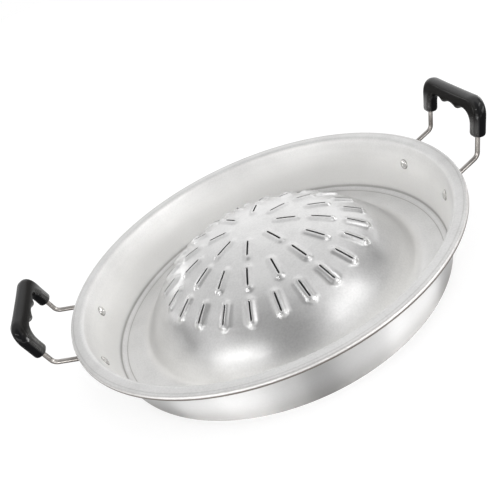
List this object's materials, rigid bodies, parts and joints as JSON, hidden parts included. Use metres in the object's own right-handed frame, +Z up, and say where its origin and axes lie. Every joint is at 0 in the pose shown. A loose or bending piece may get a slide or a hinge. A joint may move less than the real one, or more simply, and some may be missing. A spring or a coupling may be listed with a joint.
{
  "type": "stovetop grill pan",
  "caption": "Round aluminium grill pan with a slotted, ribbed dome, a trough round it, a flat rim and riveted wire side handles with black grips, set over a stove burner.",
  "frame": {"origin": "on the pan's axis, in the plane that it stands on", "axes": "+X through the middle of the right handle, +Z up along the pan's axis"},
  "size_m": [0.4068, 0.3498, 0.1015],
  "materials": {
    "pan": "satin spun",
    "wire": "bright nickel plate",
    "grip": "moulded gloss",
    "rivet": "satin"
  },
  "bodies": {
    "root": {"pan_body": "pan", "handle_wire_right": "wire", "handle_wire_left": "wire", "grip_right": "grip", "grip_left": "grip", "rivet_right_front": "rivet", "rivet_right_back": "rivet", "rivet_left_front": "rivet", "rivet_left_back": "rivet"}
  },
  "joints": []
}
